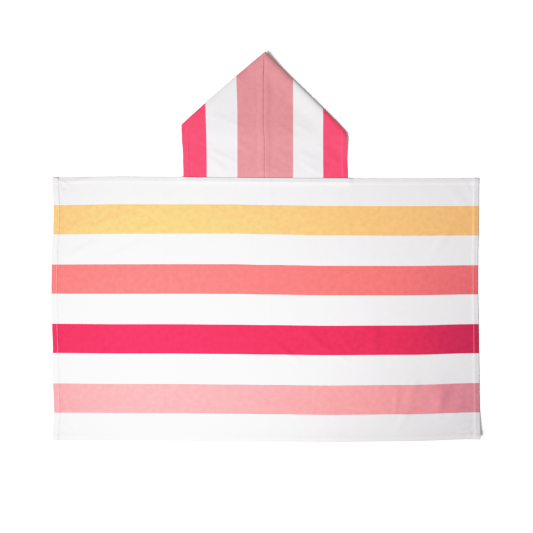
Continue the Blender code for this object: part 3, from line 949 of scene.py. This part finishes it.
def makeAllowance():  # the halves' seam allowances, pressed open underneath
    reach = hood["allowance"]
    top = hood["height"] - hood["allowanceEnd"]
    bm = flatGrid((-reach, hood["allowanceStart"]), (reach, top), hood["grid"])

    def lay(flat):
        place = np.stack([abs(flat[:, 0]), flat[:, 1]], 1)
        low = np.mean([bedHeight(half, foldOf(half), place) for half in hoodHalves], 0)
        height = low + flat[:, 2] * hood["allowanceCloth"] * allowanceShare(place)
        x = hood["seam"] + flat[:, 0] + readTable(seamBows, "right", flat[:, 1]) * mm
        y = towel["top"] + flat[:, 1]
        return np.stack([x, y, height + tipLift(x, y) + hood["allowanceLift"]], 1)

    stripes = hoodStripes["hoodLeft"][:1]
    plain = clothMaterial("hoodAllowanceCloth", stripes, 0, printSettings)
    marks = {"printed": lambda flat: flat[:, 2]}
    piece = layCloth("hoodSeamAllowance", bm, lay, lambda flat: abs(flat[:, :2]), marks, plain)
    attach(piece, "root")
    return piece


hoodPieces = [makeHoodHalf(half) for half in hoodHalves]
allowancePiece = makeAllowance()


# Stitching: each stitch is a short length of thread that dives into the cloth at both ends

stitching = {
    "pitch": 3.1 * mm,
    "length": 2.9 * mm,
    "width": 0.80 * mm,
    "rise": 0.50 * mm,
    "sunk": 0.05 * mm,
    "sides": 6,
    "rings": 5,
    "besideStep": 0.4 * mm,  # beside a stitch, where the cloth's tilt is felt
    "endGap": 2 * mm,  # free of stitches at a row's ends
    "flapStart": 1.25,  # on the flap it starts this many bends past the fold
    "flapGap": 3 * mm,
    "flapEnd": 9 * mm,
    "fibreNoise": (2600, 2.0, 0.6),
    "fibreShade": (0.25, 0.85),
    "fibreRoughness": (0.2, 0.45),
    "bump": (0.5, 0.1 * mm),  # strength and height
    "sheen": 0.2,
    "towelColour": (0.92, 0.91, 0.90),
    "hoodColour": (0.90, 0.22, 0.30),
}


def threadMaterial(name, colour):
    nodes = Nodes(name)
    place = nodes.add("ShaderNodeTexCoord").outputs["Object"]
    fibres = nodes.noise(place, *stitching["fibreNoise"])
    shade = nodes.math("MULTIPLY_ADD", fibres, *stitching["fibreShade"])
    nodes.put(nodes.shader.inputs["Base Color"], nodes.scaled(colour, shade))
    nodes.bump(fibres, *stitching["bump"])
    rough = nodes.math("MULTIPLY_ADD", fibres, *stitching["fibreRoughness"])
    nodes.put(nodes.shader.inputs["Roughness"], rough)
    nodes.shader.inputs["Sheen Weight"].default_value = stitching["sheen"]
    return nodes.material


def makeStitch():  # one stitch along X, a metre in every size
    bm = bmesh.new()
    bmesh.ops.create_uvsphere(
        bm, u_segments=stitching["sides"], v_segments=stitching["rings"], radius=0.5,
        matrix=Matrix.Rotation(math.pi / 2, 4, "Y"))
    return toMesh("oneStitch", bm)


oneStitch = makeStitch()
stitchShape = np.array([vert.co for vert in oneStitch.vertices])


def sewRow(bm, lay, start, end, layer):  # a row between two flat places, on one face
    start, end = Vector(start), Vector(end)
    count = int((end - start).length / stitching["pitch"])
    step = (end - start) / count
    beside = Vector((-step.y, step.x)).normalized() * stitching["besideStep"]
    middles = [start + (number + 0.5) * step for number in range(count)]
    reach = step.normalized() * stitching["length"] / 2
    ends = lay(np.array([(*(m + d), layer) for m in middles for d in (-reach, reach, beside)]))
    for first, last, wide in ends.reshape(-1, 3, 3):
        middle = Vector((first + last) / 2)
        run = Vector(last - first)
        out = run.cross(Vector(wide) - middle).normalized()
        out = out if (out.z > 0) == (layer > 0.5) else -out
        axes = np.array([run.normalized(), out.cross(run).normalized(), out])
        size = (run.length, stitching["width"], stitching["rise"])
        laid = (stitchShape * size) @ axes + np.array(middle - stitching["sunk"] * out)
        oneStitch.vertices.foreach_set("co", laid.ravel())
        bm.from_mesh(oneStitch)


def stitchPiece(name, bm, material):
    bmesh.ops.recalc_face_normals(bm, faces=bm.faces)
    piece = addPiece(name, toMesh(name, bm), material)
    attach(piece, "root")
    return piece


def sewTowel(material):
    bm = bmesh.new()
    inset = cloth["stitchLine"]
    left, right = inset - halfWidth, halfWidth - inset
    low, high = bottomEdge + inset, towel["top"] - inset
    neck = towel["top"] - towel["neckStitch"]
    first, last = (hood["seam"] + end for end in towel["neckRow"])
    gap = stitching["endGap"]
    for layer in (1, 0):
        for x in (left, right):
            sewRow(bm, layTowel, (x, bottomEdge + gap), (x, towel["top"] - gap), layer)
        for y in (low, high):
            sewRow(bm, layTowel, (gap - halfWidth, y), (halfWidth - gap, y), layer)
    sewRow(bm, layTowel, (first, neck), (last, neck), 1)
    return stitchPiece("towelStitching", bm, material)


def sewHood(material):
    bm = bmesh.new()
    for half in hoodHalves:
        fold = foldOf(half)
        out = half["width"] - cloth["stitchLine"]

        def lay(flat, half=half, fold=fold):
            return layHalf(half, fold, flat)

        bendStart = fold["start"] + fold["line"] * (out - fold["start"].x) / fold["line"].x
        gap = stitching["endGap"]
        sewRow(bm, lay, (out, gap), (out, bendStart.y - gap), 1)
        start = bendStart.y + fold["bend"] * stitching["flapStart"] + stitching["flapGap"]
        end = fold["crownCorner"].y - stitching["flapEnd"]
        sewRow(bm, lay, (out, start), (out, end), 1)
    return stitchPiece("hoodStitching", bm, material)


towelThread = sewTowel(threadMaterial("whiteThread", stitching["towelColour"]))
hoodThread = sewHood(threadMaterial("pinkThread", stitching["hoodColour"]))
bpy.data.meshes.remove(oneStitch)


# Floor and light

studio = {
    "floorSize": 44.0,
    "floorColour": (0.90, 0.90, 0.90),
    "floorRoughness": 0.9,
    "floorSpecular": 0.1,
    "keyPlace": (-0.87, -1.046, 1.40),
    "keyTarget": (-0.109, -0.062, 0.0),
    "keyRadius": 0.35,
    "keyCone": 62.1,  # degrees, soft all the way in
    "keyPower": 152.0,
    "sidePlace": (-4.0, -3.5, 4.15),  # a broad lamp far off on the same side
    "sideSpread": 24,  # degrees
    "sideStrength": 1.42,
    "fill": 0.40,
    "floorPlace": (-5.0, -3.6, 4.5),  # lights the floor alone, from the same side
    "floorSpread": 40,  # degrees
    "floorStrength": 8.1,
}


def aim(lamp, place, target):
    lamp.location = place
    lamp.rotation_euler = (Vector(target) - Vector(place)).to_track_quat("-Z", "Y").to_euler()


def lightOnly(lamp, things):  # a lamp that lights these things alone
    lit = bpy.data.collections.new("litBy" + lamp.name)
    for thing in things:
        lit.objects.link(thing)
    lamp.light_linking.receiver_collection = lit


def makeStudio(settings, pieces):
    bm = bmesh.new()
    bmesh.ops.create_grid(bm, x_segments=1, y_segments=1, size=settings["floorSize"] / 2)
    mesh = toMesh("studioFloor", bm)
    floor = addThing("studioFloor", mesh)
    paint = bpy.data.materials.new("floorPaint")
    paint.use_nodes = True
    shader = paint.node_tree.nodes["Principled BSDF"]
    shader.inputs["Base Color"].default_value = (*settings["floorColour"], 1)
    shader.inputs["Roughness"].default_value = settings["floorRoughness"]
    shader.inputs["Specular IOR Level"].default_value = settings["floorSpecular"]
    mesh.materials.append(paint)
    floor.visible_diffuse = False  # the bright floor doesn't light the cloth's edges

    keyLight = bpy.data.lights.new("keyLight", "SPOT")
    keyLight.shadow_soft_size = settings["keyRadius"]
    keyLight.spot_size = math.radians(settings["keyCone"])
    keyLight.spot_blend = 1.0
    keyLight.energy = settings["keyPower"]
    key = addThing("keyLight", keyLight)
    aim(key, settings["keyPlace"], settings["keyTarget"])
    lightOnly(key, pieces)

    for name, things in (("side", pieces), ("floor", [floor])):
        broad = bpy.data.lights.new(name + "Light", "SUN")
        broad.angle = math.radians(settings[name + "Spread"])
        broad.energy = settings[name + "Strength"]
        lamp = addThing(name + "Light", broad)
        aim(lamp, settings[name + "Place"], (0, 0, 0))
        lightOnly(lamp, things)

    world = bpy.data.worlds.new("studioWorld")
    world.use_nodes = True
    world.node_tree.nodes["Background"].inputs["Color"].default_value = (1, 1, 1, 1)
    world.node_tree.nodes["Background"].inputs["Strength"].default_value = settings["fill"]
    bpy.context.scene.world = world


makeStudio(studio, [towelPiece, *hoodPieces, allowancePiece, towelThread, hoodThread])

# The picture's own tones: plain up to the middle, with a soft shoulder into white
tones = named(("light", "shown"), [
    (0.0, 0.0), (0.35, 0.35), (0.60, 0.60), (0.72, 0.735), (0.90, 0.85), (1.05, 0.93),
    (1.30, 0.97), (1.60, 1.0),
])


def setTones(table):
    view = bpy.context.scene.view_settings
    view.view_transform = "Standard"
    view.look = "None"
    view.use_curve_mapping = True
    mapping = view.curve_mapping
    top = float(table["light"][-1])
    mapping.white_level = (top, top, top)
    curve = mapping.curves[3]
    for light, shown in list(zip(table["light"], table["shown"]))[1:-1]:
        curve.points.new(light / top, shown)
    mapping.update()


setTones(tones)
print("studio ready")
